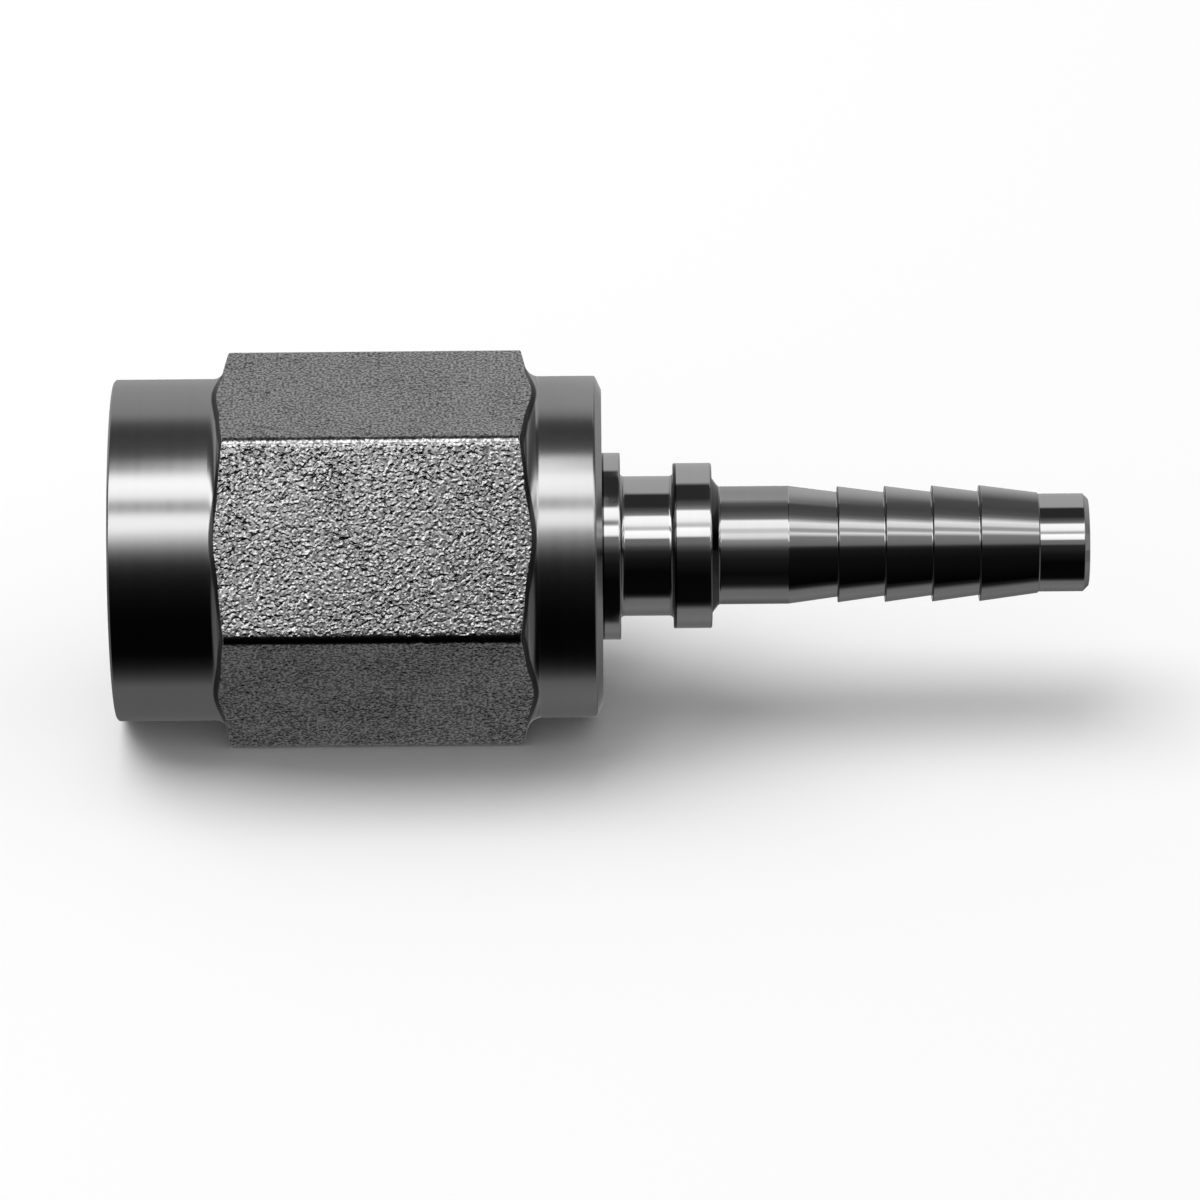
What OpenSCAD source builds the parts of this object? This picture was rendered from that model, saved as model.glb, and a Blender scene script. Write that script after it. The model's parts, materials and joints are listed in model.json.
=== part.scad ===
// Crimp hose fitting: a barbed hose stem with a 60 degree cone nose and a loose swivel nut.
// The axis is X. The nut's open end faces -X and the hose tail points to +X.
// The origin is on the axis, in the gauge plane of the cone seat, and one hexagon flat faces down.
// All sizes are in millimetres.

/* [Swivel nut] */
// Width of the hexagon across its flats
hex_af = 19; // [18:0.5:24]
// Length of the hexagon
hex_len = 17.1; // [14:0.1:22]
// Length of the turned skirt in front of the hexagon
skirt_len = 5.9; // [3:0.1:8]
// Length of the turned collar behind the hexagon
collar_len = 3.75; // [3:0.05:6]
// How far the skirt and the collar lie inside the flats
turned_step = 0.1; // [0.05:0.05:0.3]
// Distance from the gauge plane to the nut's open end
nut_reach = 14.48; // [13.5:0.1:16]
// Angle of the chamfer on the hexagon's front corners
front_corner_deg = 20; // [15:1:35]
// Angle of the chamfer on the hexagon's rear corners
rear_corner_deg = 27; // [15:1:35]
// How far outside the flats the corner chamfers begin
corner_start = 0.1; // [0.1:0.02:0.4]
// How far the drawn bar's edges are rounded off, measured at the corner
edge_break = 0.05; // [0.02:0.01:0.2]
// Radius where the turned ends run into the hexagon
turned_fillet = 0.15; // [0.1:0.05:0.2]
// Chamfer on the skirt's outer edge
skirt_chamfer = 0.25; // [0.1:0.05:0.6]
// Length of the chamfer on the collar's outer edge, along the axis
collar_chamfer = 0.55; // [0.3:0.05:1]
// Angle of that chamfer from the axis
collar_chamfer_deg = 55; // [30:1:65]

/* [Thread] */
// Major diameter of the nut's parallel pipe thread
thread_major_d = 13.157; // [12.5:0.001:13.8]
// Pitch of the thread
thread_pitch = 1.337; // [0.9:0.001:1.4]
// Length of the threaded wall with its mouth chamfer
thread_len = 11.4; // [9:0.1:12]
// How far the mouth chamfer opens past the major diameter
mouth_open = 0.3; // [0.1:0.05:0.6]
// How deep the relief behind the thread is cut past the major diameter
relief_depth = 0.15; // [0.05:0.05:0.4]

/* [Cone seat] */
// Diameter of the cone in the gauge plane
gauge_d = 8.9; // [8:0.1:9.6]
// Included angle of the cone
cone_deg = 60; // [50:1:75]
// Diameter of the cone's tip
tip_d = 6.4; // [6:0.1:7.4]
// Distance from the cone's base to the nut's inner shoulder
shoulder_gap = 0.4; // [0.2:0.1:1]

/* [Stem] */
// Diameter of the shank that the nut turns on
shank_d = 10.3; // [9.8:0.1:10.9]
// How far the shank stands out behind the nut
shank_proud = 1; // [0.4:0.1:2]
// Diameter of the neck that the ferrule's lip is pressed into
neck_d = 7.7; // [7:0.1:8.6]
// Length of the neck
neck_len = 2.89; // [2:0.01:4]
// Diameter of the lock collar
lock_d = 9.1; // [8.8:0.1:10]
// Length of the lock collar
lock_len = 2.12; // [1.2:0.02:3]
// Radius in the corners of the neck
neck_fillet = 0.2; // [0.05:0.05:0.4]
// Chamfer on the edges of the shank and the lock collar
stem_chamfer = 0.15; // [0.05:0.05:0.3]
// Diameter of the flow bore
bore_d = 4; // [3:0.1:4.4]
// Chamfer at both mouths of the flow bore
bore_chamfer = 0.2; // [0.1:0.05:0.3]

/* [Hose tail] */
// Diameter of the plain land, which is the hose's nominal bore
land_d = 6.5; // [6.3:0.1:7.5]
// Length of the cone between the lock collar and the land
shoulder_len = 0.38; // [0.2:0.02:1]
// Height of that cone's foot above the land
shoulder_rise = 0.5; // [0.2:0.05:0.8]
// Length of the plain land
land_len = 3.82; // [2:0.01:6]
// Length of the taper from the land to the first barb
taper_len = 2.72; // [1.5:0.02:3]
// Number of barbs
barb_count = 4; // [2:1:6]
// Distance from barb to barb
barb_pitch = 2.6; // [2:0.05:3.5]
// How far the barbs' edges lie inside the land
barb_relief = 0.05; // [0.02:0.01:0.15]
// Depth of a barb's step
barb_depth = 0.35; // [0.2:0.01:0.4]
// Length of the last barb's cone
last_cone_len = 3.2; // [2.6:0.05:4]
// Diameter of the plain nose at the tail's end
nose_d = 5.4; // [5.2:0.05:5.6]
// Length of the nose
nose_len = 2.8; // [1.5:0.02:5]
// Chamfer on the nose's outer edge
nose_chamfer = 0.3; // [0.1:0.05:0.3]

/* [Retaining wire] */
// Diameter of the wire that holds the nut on the stem
wire_d = 1; // [0.8:0.05:1.2]
// Part of a turn that the wire fills
wire_sweep = 340; // [300:5:350]
// Play between the wire and its two half-round grooves
wire_play = 0.03; // [0.02:0.01:0.05]
// Play of the loading hole round the wire
loading_play = 0.1; // [0.05:0.05:0.2]
// Radial clearance between the shank and the nut's rear bore
swivel_play = 0.075; // [0.03:0.005:0.1]

/* [Hidden] */
$fn = 96;

// Cuts run this far past the faces that they open
over = 1;

// A parallel pipe thread of 55 degrees is this many pitches deep
thread_depth = 0.640327 * thread_pitch;

// The nut, along the axis and outwards
nut_front = -nut_reach;
hex_front = nut_front + skirt_len;
hex_rear = hex_front + hex_len;
nut_rear = hex_rear + collar_len;
flat_r = hex_af / 2;
corner_r = flat_r / cos(30);
bar_r = corner_r - edge_break;
turned_r = flat_r - turned_step;
chamfer_r = flat_r + corner_start;
collar_chamfer_rise = collar_chamfer * tan(collar_chamfer_deg);
front_corner_len = (bar_r - chamfer_r) * tan(front_corner_deg);
rear_corner_len = (bar_r - chamfer_r) * tan(rear_corner_deg);

// The nut's inside
major_r = thread_major_d / 2;
minor_r = major_r - thread_depth;
mouth_r = major_r + mouth_open;
relief_r = major_r + relief_depth;
thread_end = nut_front + thread_len;

// The stem's nose
cone_slope = tan(cone_deg / 2);
tip_x = -(gauge_d - tip_d) / 2 / cone_slope;
cone_base = (shank_d - gauge_d) / 2 / cone_slope;
inner_shoulder = cone_base + shoulder_gap;
shank_r = shank_d / 2;
rear_bore_r = shank_r + swivel_play;

// The stem behind the nut
shank_end = nut_rear + shank_proud;
neck_end = shank_end + neck_len;
lock_end = neck_end + lock_len;
land_start = lock_end + shoulder_len;
land_end = land_start + land_len;
first_barb = land_end + taper_len;
land_r = land_d / 2;
crest_r = land_r - barb_relief;
barb_slope = barb_depth / barb_pitch;
cone_end = first_barb + (barb_count - 1) * barb_pitch + last_cone_len;
tail_end = cone_end + nose_len;

// The wire lies in the middle of the collar, half in the shank and half in the nut
wire_x = hex_rear + (collar_len - collar_chamfer) / 2;
wire_ring_r = shank_r + swivel_play / 2;
groove_r = wire_d / 2 + wire_play;
loading_d = wire_d + 2 * loading_play;

// Turns a profile of [radius, place along the axis] about the X axis
module turned(sweep = 360) {
    rotate([0, 90, 0])
        rotate_extrude(angle = sweep)
            children();
}

// Fills an inner corner of a profile with a round of radius r.
// The corner is at [cr, cx]; out and along are 1 or -1 and point into the open side.
module corner_fillet(cr, cx, r, out, along) {
    difference() {
        translate([cr + (out > 0 ? 0 : -r), cx + (along > 0 ? 0 : -r)])
            square(r);
        translate([cr + out * r, cx + along * r])
            circle(r);
    }
}

// Round section that the retaining wire and its groove share
module wire_section(r) {
    translate([wire_ring_r, wire_x])
        circle(r);
}

// Outline of the nut as it is turned from the bar, before the flats bound it
module nut_outline() {
    polygon([
        [0, nut_front],
        [turned_r - skirt_chamfer, nut_front],
        [turned_r, nut_front + skirt_chamfer],
        [turned_r, hex_front],
        [chamfer_r, hex_front],
        [bar_r, hex_front + front_corner_len],
        [bar_r, hex_rear - rear_corner_len],
        [chamfer_r, hex_rear],
        [turned_r, hex_rear],
        [turned_r, nut_rear - collar_chamfer],
        [turned_r - collar_chamfer_rise, nut_rear],
        [0, nut_rear]
    ]);
    corner_fillet(turned_r, hex_front, turned_fillet, 1, -1);
    corner_fillet(turned_r, hex_rear, turned_fillet, 1, 1);
}

// Everything that is bored out of the nut
module nut_inside() {
    polygon([
        [0, nut_front - over],
        [mouth_r + over, nut_front - over],
        [mouth_r, nut_front],
        [minor_r, nut_front + mouth_r - minor_r],
        [minor_r, thread_end],
        [relief_r, thread_end + relief_r - minor_r],
        [relief_r, inner_shoulder],
        [rear_bore_r, inner_shoulder],
        [rear_bore_r, nut_rear + over],
        [0, nut_rear + over]
    ]);
    wire_section(groove_r);
}

// Hexagon bar with a flat facing down and corners to the sides
module hex_bar() {
    translate([nut_front, 0, 0])
        rotate([0, 90, 0])
            rotate([0, 0, 30])
                linear_extrude(height = nut_rear - nut_front)
                    circle(r = corner_r, $fn = 6);
}

// Hole through the collar's far lower side, tangent to the groove, where the wire is fed in
module loading_hole() {
    translate([wire_x, 0, -wire_ring_r])
        rotate([-90, 0, 0])
            cylinder(d = loading_d, h = corner_r);
}

module swivel_nut() {
    color([0.56, 0.57, 0.58])
        difference() {
            intersection() {
                turned()
                    nut_outline();
                hex_bar();
            }
            turned()
                nut_inside();
            loading_hole();
        }
}

// Barb number i: its step face, then its cone falling away towards the tail's end
function barb(i) =
    let (
        step = first_barb + i * barb_pitch,
        len = i < barb_count - 1 ? barb_pitch : last_cone_len
    )
    [[crest_r, step], [crest_r - barb_slope * len, step + len]];

module stem_outline() {
    difference() {
        union() {
            polygon(concat(
                [
                    [bore_d / 2 + bore_chamfer, tip_x],
                    [tip_d / 2, tip_x],
                    [shank_r, cone_base],
                    [shank_r, shank_end - stem_chamfer],
                    [shank_r - stem_chamfer, shank_end],
                    [neck_d / 2, shank_end],
                    [neck_d / 2, neck_end],
                    [lock_d / 2 - stem_chamfer, neck_end],
                    [lock_d / 2, neck_end + stem_chamfer],
                    [lock_d / 2, lock_end - stem_chamfer],
                    [lock_d / 2 - stem_chamfer, lock_end],
                    [land_r + shoulder_rise, lock_end],
                    [land_r, land_start],
                    [land_r, land_end],
                    [land_r - barb_slope * taper_len, first_barb]
                ],
                [for (i = [0:barb_count - 1]) for (p = barb(i)) p],
                [
                    [nose_d / 2, cone_end],
                    [nose_d / 2, tail_end - nose_chamfer],
                    [nose_d / 2 - nose_chamfer, tail_end],
                    [bore_d / 2 + bore_chamfer, tail_end],
                    [bore_d / 2, tail_end - bore_chamfer],
                    [bore_d / 2, tip_x + bore_chamfer]
                ]
            ));
            corner_fillet(neck_d / 2, shank_end, neck_fillet, 1, 1);
            corner_fillet(neck_d / 2, neck_end, neck_fillet, 1, -1);
        }
        wire_section(groove_r);
    }
}

module hose_stem() {
    color([0.68, 0.69, 0.70])
        turned()
            stem_outline();
}

module retaining_wire() {
    color([0.45, 0.46, 0.48])
        turned(wire_sweep)
            wire_section(wire_d / 2);
}

swivel_nut();
hose_stem();
retaining_wire();
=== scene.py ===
# %% [markdown]
# A crimp hose fitting, dressed for its picture
#
# The fitting is a barbed steel hose stem with a loose hexagon nut that turns on it. Three solids come
# in as a fixed frame: the nut, the stem and the wire that holds them together. This lesson gives each
# of them its fine form (the inside thread, broken edges, tool marks) and its steel, and then sets up
# the studio. Nothing is moved or resized: every new piece is built in the place of its solid.

# %% Load the fitting's solids
import json
import math

import bmesh
import bpy
from mathutils import Matrix, Vector


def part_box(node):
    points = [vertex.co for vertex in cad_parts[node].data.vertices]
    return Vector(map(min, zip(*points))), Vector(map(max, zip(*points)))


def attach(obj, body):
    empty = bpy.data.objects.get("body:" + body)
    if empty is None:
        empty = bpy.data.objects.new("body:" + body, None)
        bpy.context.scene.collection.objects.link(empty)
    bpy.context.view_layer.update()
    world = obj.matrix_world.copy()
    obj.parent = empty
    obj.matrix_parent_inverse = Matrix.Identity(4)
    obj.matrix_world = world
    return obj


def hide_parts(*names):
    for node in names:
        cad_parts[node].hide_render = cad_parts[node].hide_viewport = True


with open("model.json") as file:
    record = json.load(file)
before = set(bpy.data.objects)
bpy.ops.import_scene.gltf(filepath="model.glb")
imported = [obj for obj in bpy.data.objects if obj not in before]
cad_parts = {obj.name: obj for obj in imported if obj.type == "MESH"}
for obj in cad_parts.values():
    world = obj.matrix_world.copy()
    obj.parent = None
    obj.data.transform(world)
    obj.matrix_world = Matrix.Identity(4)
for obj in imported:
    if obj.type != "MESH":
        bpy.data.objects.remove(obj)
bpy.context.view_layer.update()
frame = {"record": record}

# %% [markdown]
# Sizes
#
# A fitting is drawn in millimetres and Blender's scene is in metres, so the sizes are written in
# millimetres and turned into metres only where a mesh is made. The axis is X: the nut's open end faces
# -X and the hose tail points to +X. Ends and flats are read from the solids, so that they can't drift,
# and the rest repeats the drawing. Each profile is a list of places along the axis and radii.

# %% Sizes from the solids
MM = 0.001


def span_mm(node):
    """Lowest and highest corner of a solid, in millimetres."""
    low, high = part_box(node)
    return low / MM, high / MM


nut_low, nut_high = span_mm("swivel_nut")
stem_low, stem_high = span_mm("hose_stem")
mounts = {mount["name"]: mount for mount in frame["record"]["mounts"]}

NUT_FRONT = nut_low.x
NUT_REAR = nut_high.x
FLAT = nut_high.z
STEM_TIP = stem_low.x
TAIL_END = stem_high.x
SHANK_R = stem_high.z
MINOR_R = mounts["nut_thread"]["dims"]["r_mm"]
LAND_R = mounts["hose_land"]["dims"]["r_mm"]
BORE_R = mounts["flow_bore"]["dims"]["r_mm"]
print(f"nut {NUT_FRONT:.2f} to {NUT_REAR:.2f} mm, {2 * FLAT:.2f} mm across flats")
print(f"stem {STEM_TIP:.2f} to {TAIL_END:.2f} mm, shank radius {SHANK_R:.2f} mm")

# %% Sizes from the drawing
SKIRT_LEN = 5.9
COLLAR_LEN = 3.75
HEX_FRONT = NUT_FRONT + SKIRT_LEN
HEX_REAR = NUT_REAR - COLLAR_LEN
TURNED_R = FLAT - 0.1
RUN_OUT_FRONT = HEX_FRONT - 0.46
RUN_OUT_REAR = HEX_REAR + 0.34
RUN_OUT_FRONT_R = 0.6
RUN_OUT_REAR_R = 0.8
FRONT_CORNER_DEG = 13
REAR_CORNER_DEG = 15
SKIRT_CHAMFER = 0.12
COLLAR_CHAMFER = 0.36
COLLAR_CHAMFER_RISE = 0.7855
PITCH = 1.337
MAJOR_R = 13.157 / 2
MOUTH_R = MAJOR_R + 0.3
RELIEF_R = MAJOR_R + 0.15
THREAD_END = NUT_FRONT + 11.4
REAR_BORE_R = SHANK_R + 0.075
CONE_BASE = 1.212
INNER_SHOULDER = CONE_BASE + 0.4
WIRE_X = HEX_REAR + (COLLAR_LEN - 0.55) / 2
WIRE_R = 0.5
WIRE_PLAY = 0.03
WIRE_RING_R = SHANK_R + 0.0375
print(f"hexagon {HEX_REAR - HEX_FRONT:.2f} mm long, thread {THREAD_END - NUT_FRONT:.2f} mm deep")

# %% [markdown]
# Profiles with broken edges
#
# No machined edge is truly sharp: a file or the next pass of the tool breaks it by a few hundredths,
# and that narrow band is what catches the light. A profile is therefore written as corners, each with
# the radius of its rounding, and one helper turns each corner into a short arc. It works for outside
# edges and for the small fillets that a tool's nose leaves in a corner.
#
# Smooth shading blends the normals of neighbouring faces, so a long straight run would be tilted by
# the arcs at its ends. A second helper adds a holding point close to each end, which keeps the run
# straight and the blend inside the arc.

# %% Helpers that round and hold a profile's corners
ARC_STEPS = 5
HOLD = 0.03
LONGEST_REACH = 0.45


def held(points):
    """Adds a point close to both ends of each long straight run of a profile."""
    result = [Vector(points[0])]
    for x, r in points[1:]:
        here = Vector((x, r))
        run = here - result[-1]
        if run.length > 6 * HOLD:
            near = run.normalized() * HOLD
            result += [result[-1] + near, here - near]
        result.append(here)
    return [(p[0], p[1]) for p in result]


def rounded(corners):
    """Turns [(x, r, rounding), ...] into points (x, r), with an arc in place of each rounded corner."""
    points = []
    for i, (x, r, rounding) in enumerate(corners):
        here = Vector((x, r))
        if rounding == 0 or i in (0, len(corners) - 1):
            points.append(here)
            continue
        before = Vector(corners[i - 1][:2]) - here
        after = Vector(corners[i + 1][:2]) - here
        half = before.angle(after) / 2
        reach = min(rounding / math.tan(half), LONGEST_REACH * min(before.length, after.length))
        radius = reach * math.tan(half)
        inward = (before.normalized() + after.normalized()).normalized()
        centre = here + inward * (radius / math.sin(half))
        start = here + before.normalized() * reach - centre
        end = here + after.normalized() * reach - centre
        turn = start.angle(end)
        for step in range(ARC_STEPS + 1):
            t = step / ARC_STEPS
            weight_start = math.sin((1 - t) * turn) / math.sin(turn)
            weight_end = math.sin(t * turn) / math.sin(turn)
            points.append(centre + start * weight_start + end * weight_end)
    return held(points)


square_corner = rounded([(0, 1, 0), (1, 1, 0.1), (1, 0, 0)])
print("a rounded square corner with its holding points:", len(square_corner) - 2, "points")

# %% [markdown]
# Small shader helpers
#
# The three steels share two effects: the fine rings that a lathe tool leaves, and the pitted skin of
# drawn bar. Each becomes a shader node group with named inputs, built once and then placed in every
# material that needs it with its own values. These helpers keep the wiring short to read.

# %% Helpers for node groups
def feed(tree, socket, value):
    """Links a socket to another socket, or sets it to a plain value."""
    if isinstance(value, bpy.types.NodeSocket):
        tree.links.new(value, socket)
    else:
        socket.default_value = value


def put(tree, node, **values):
    """Links or sets a node's inputs by name, with an underscore for each space."""
    for name, value in values.items():
        feed(tree, node.inputs[name.replace("_", " ")], value)
    return node


def node_with(tree, kind, **values):
    """A new node with its inputs linked or set."""
    return put(tree, tree.nodes.new(kind), **values)


def new_group(name, kind, inputs, outputs):
    """A node group. inputs holds (name, kind of socket, default). Returns it with its sockets."""
    group = bpy.data.node_groups.new(name, kind)
    for label, socket, default in inputs:
        item = group.interface.new_socket(label, in_out="INPUT", socket_type="NodeSocket" + socket)
        if default is not None:
            item.default_value = default
    for label, socket in outputs:
        group.interface.new_socket(label, in_out="OUTPUT", socket_type="NodeSocket" + socket)
    return group, group.nodes.new("NodeGroupInput").outputs, group.nodes.new("NodeGroupOutput").inputs


def maths(tree, operation, *values):
    """A Math node, with its inputs linked or set. Returns its output."""
    node = tree.nodes.new("ShaderNodeMath")
    node.operation = operation
    for socket, value in zip(node.inputs, values):
        feed(tree, socket, value)
    return node.outputs[0]


def map_between(tree, value, low, high, at_low=0.0, at_high=1.0, kind="SMOOTHSTEP"):
    """A step from at_low to at_high while the value goes from low to high."""
    limits = {"From_Min": low, "From_Max": high, "To_Min": at_low, "To_Max": at_high}
    step = node_with(tree, "ShaderNodeMapRange", Value=value, **limits)
    step.interpolation_type = kind
    return step.outputs[0]


def parts_of(tree, vector):
    """The X, Y and Z of a vector."""
    return node_with(tree, "ShaderNodeSeparateXYZ", Vector=vector).outputs[:]


def vector_of(tree, x=0.0, y=0.0, z=0.0):
    """A vector from its X, Y and Z."""
    return node_with(tree, "ShaderNodeCombineXYZ", X=x, Y=y, Z=z).outputs[0]


def place_on_piece(tree):
    """The position on the piece, in its own coordinates."""
    return tree.nodes.new("ShaderNodeTexCoord").outputs["Object"]


print("helpers:", ", ".join(h.__name__ for h in (new_group, maths, map_between, parts_of, vector_of)))

# %% [markdown]
# Rings from the lathe
#
# A turned face carries fine rings round the axis. On a cylinder they follow each other along X, on an
# end face along the radius, and on a cone along both, so the pattern reads the distance along the axis
# and the distance from it. Noise that is stretched round the axis looks like real tool marks, where
# even stripes would look printed. The group gives a height for the bump and a shade for the polish.

# %% The group of turning rings
STREAKS_ROUND = 60.0


def build_turning_rings():
    """Height and shade of rings round the X axis."""
    group, given, result = new_group(
        "Turning rings",
        "ShaderNodeTree",
        [("Position", "Vector", None), ("Ring width", "Float", 0.00008), ("Band width", "Float", 0.0005)],
        [("Height", "Float"), ("Shade", "Float")],
    )
    x, y, z = parts_of(group, given["Position"])
    across = maths(group, "SQRT", maths(group, "ADD", *(maths(group, "MULTIPLY", p, p) for p in (y, z))))
    round_it = maths(group, "MULTIPLY", z, STREAKS_ROUND)
    for label, width in (("Height", given["Ring width"]), ("Shade", given["Band width"])):
        scaled = [maths(group, "DIVIDE", part, width) for part in (x, across)]
        place = vector_of(group, *scaled, round_it)
        noise = node_with(group, "ShaderNodeTexNoise", Vector=place, Scale=1.0, Detail=2.0)
        feed(group, result[label], noise.outputs["Fac"])
    return group


turning_rings = build_turning_rings()
print("group:", turning_rings.name)

# %% [markdown]
# The skin of drawn bar
#
# The hexagon's faces are never machined: they keep the skin of the bar, full of raised grains and
# shallow pits about a fifth of a millimetre wide. A grain tips the light one way and a pit the other,
# so the face sparkles where the studio goes from dark to bright. Plain noise is rough everywhere. Here
# only the peaks of two noises are kept, one raised and one sunk, so that the skin between them stays
# flat. A third, much wider one lets the grain come and go, and a fourth gives each spot its own shade.

# %% The group of bar grain
GRAIN_STRETCH = (1.15, 1.3, 1.0)
GRAIN_CUT = (0.50, 0.85)
PATCH_CUT = (0.35, 0.62)
SHADE_CUT = (0.2, 0.8)
PATCH_SCALE = 0.1
SHADE_SCALE = 1.6
PATCH_WEAKEST = 0.45
PATCH_STRONGEST = 1.1


def grain_noise(tree, place, scale, seed, cut, at_low=0.0, at_high=1.0):
    """Noise of one size, cut to a smooth step between two of its values."""
    noise = tree.nodes.new("ShaderNodeTexNoise")
    noise.noise_dimensions = "4D"
    put(tree, noise, Vector=place, W=seed, Scale=scale, Detail=0.5)
    return map_between(tree, noise.outputs["Fac"], *cut, at_low, at_high)


def build_bar_grain():
    """Height and shade of raised grains and pits."""
    group, given, result = new_group(
        "Bar grain",
        "ShaderNodeTree",
        [("Position", "Vector", None), ("Grain size", "Float", 0.00025)],
        [("Height", "Float"), ("Shade", "Float")],
    )
    sizes = [maths(group, "MULTIPLY", given["Grain size"], stretch) for stretch in GRAIN_STRETCH]
    parts = parts_of(group, given["Position"])
    place = vector_of(group, *(maths(group, "DIVIDE", part, size) for part, size in zip(parts, sizes)))
    raised = grain_noise(group, place, 1.0, 0.0, GRAIN_CUT)
    pits = grain_noise(group, place, 1.0, 7.0, GRAIN_CUT, at_high=-1.0)
    strength = (PATCH_WEAKEST, PATCH_STRONGEST)
    patches = grain_noise(group, place, PATCH_SCALE, 3.0, PATCH_CUT, *strength)
    feed(group, result["Height"], maths(group, "MULTIPLY", maths(group, "ADD", raised, pits), patches))
    feed(group, result["Shade"], grain_noise(group, place, SHADE_SCALE, 5.0, SHADE_CUT))
    return group


bar_grain = build_bar_grain()
print("group:", bar_grain.name)

# %% [markdown]
# Steel
#
# Steel is a metal shader with a neutral grey and no colour of its own, so its look is all in the
# roughness: the stem is nearly a mirror, the nut's turned ends are satin, and the bar's faces are
# pitted. A helper places a group, reads its outputs and leaves the shader itself in the material.

# %% Helpers for the steels
NOISE_RANGE = (0.25, 0.75)
COOL_TINT = 1.01


def new_steel(name, grey, roughness):
    """A metal material. Returns it with its node tree and its shader."""
    material = bpy.data.materials.new(name)
    material.use_nodes = True
    tree = material.node_tree
    shader = tree.nodes["Principled BSDF"]
    put(tree, shader, Metallic=1.0, Base_Color=(grey, grey, grey * COOL_TINT, 1.0), Roughness=roughness)
    return material, tree, shader


def place_group(tree, group, **values):
    """Places a node group on the position on the piece, and feeds its other inputs."""
    node = tree.nodes.new("ShaderNodeGroup")
    node.node_tree = group
    return put(tree, node, Position=place_on_piece(tree), **values).outputs


def bumped(tree, height, depth):
    """The normal of a bump whose height of 0 to 1 stands for depth metres."""
    return node_with(tree, "ShaderNodeBump", Height=height, Strength=1.0, Distance=depth).outputs[0]


def spread(tree, value, low, high):
    """Maps the usual range of noise onto low to high."""
    return map_between(tree, value, *NOISE_RANGE, low, high, "LINEAR")


def grey_of(tree, value):
    """A colour from one grey value."""
    return node_with(tree, "ShaderNodeCombineColor", Red=value, Green=value, Blue=value).outputs[0]


print("noise of", NOISE_RANGE, "is spread over each steel's range")

# %% [markdown]
# Marks that the nut carries
#
# Two marks on the nut follow its edges and no plain pattern: a dark line where the turning tool ran out
# of the bar's skin, part scale and part painted shade in that crease, and the smooth rubbed edges of the
# bar. A picture painted on the nut could hold them, but a number at each point of its mesh does it with
# no picture at all. The numbers are worked out with the mesh, further down: "arc" is 1 at the curved
# end of a flat and falls away from it, and "corner" is 1 on the bar's edges. The materials only read
# them.

# %% The turned steels
POLISH_CHANGE = 0.015
ROUGHNESS_CHANGE = 0.06
# The dark line at the end of each flat is part scale and part painted shade in that crease.
SCALE_AND_SHADE_EDGE = (0.42, 0.62)
SCALE_AND_SHADE_BRIGHTNESS = 0.14
SCALE_ROUGHER = 0.2


def varying(tree, shade, middle, change):
    """A value that the shade moves up and down by a share of it."""
    return spread(tree, shade, middle * (1 - change), middle * (1 + change))


def from_mesh(tree, name):
    """Reads a number that the mesh carries at each of its points."""
    node = tree.nodes.new("ShaderNodeAttribute")
    node.attribute_name = name
    return node.outputs["Fac"]


def turned_steel(name, grey, roughness, ring_width, ring_depth, dark_line=False):
    """Steel as the lathe leaves it, with a line of scale and painted shade where the tool ran out of the
    bar's skin.
    """
    material, tree, shader = new_steel(name, grey, roughness)
    rings = place_group(tree, turning_rings, Ring_width=ring_width)
    polish = varying(tree, rings["Shade"], grey, POLISH_CHANGE)
    rough = varying(tree, rings["Shade"], roughness, ROUGHNESS_CHANGE)
    if dark_line:
        away_from_line = map_between(tree, from_mesh(tree, "arc"), *SCALE_AND_SHADE_EDGE, 1.0, SCALE_AND_SHADE_BRIGHTNESS)
        polish = maths(tree, "MULTIPLY", polish, away_from_line)
        roughest = maths(tree, "ADD", rough, SCALE_ROUGHER)
        rough = maths(tree, "SUBTRACT", roughest, maths(tree, "MULTIPLY", away_from_line, SCALE_ROUGHER))
    normal = bumped(tree, rings["Height"], ring_depth)
    put(tree, shader, Base_Color=grey_of(tree, polish), Roughness=rough, Normal=normal)
    return material


satin = turned_steel("nut_turned_steel", 0.58, 0.17, 0.00006, 0.0000004, dark_line=True)
bright = turned_steel("stem_bright_steel", 0.68, 0.03, 0.00005, 0.00000004)
thread_steel = turned_steel("nut_thread_steel", 0.55, 0.28, 0.00005, 0.0000008)
wire_steel = turned_steel("drawn_wire_steel", 0.45, 0.30, 0.00005, 0.000001)
print("turned steels:", [m.name for m in (satin, bright, thread_steel, wire_steel)])

# %% The bar's skin
RUBBED_EDGE = (0.2, 0.9)
RUBBED_GRAIN = 0.12
SKIN_DARKEST = 0.5
SKIN_BRIGHTEST = 1.55
SKIN_ROUGHNESS = 0.3


def bar_steel(name, grey, roughness, grain_size, grain_depth):
    """The pitted skin of drawn hexagon bar, rubbed smooth along the bar's edges."""
    material, tree, shader = new_steel(name, grey, roughness)
    grain = place_group(tree, bar_grain, Grain_size=grain_size)
    skin = map_between(tree, from_mesh(tree, "corner"), *RUBBED_EDGE, 1.0, RUBBED_GRAIN)
    shade = spread(tree, grain["Shade"], grey * SKIN_DARKEST, grey * SKIN_BRIGHTEST)
    smooth = roughness * (1 - SKIN_ROUGHNESS)
    rough = maths(tree, "MULTIPLY_ADD", skin, roughness * SKIN_ROUGHNESS, smooth)
    normal = bumped(tree, maths(tree, "MULTIPLY", grain["Height"], skin), grain_depth)
    put(tree, shader, Base_Color=grey_of(tree, shade), Roughness=rough, Normal=normal)
    return material


bar = bar_steel("nut_bar_steel", 0.50, 0.14, 0.0002, 0.00006)
print("bar steel:", bar.name, "with", bar_grain.name)

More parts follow.
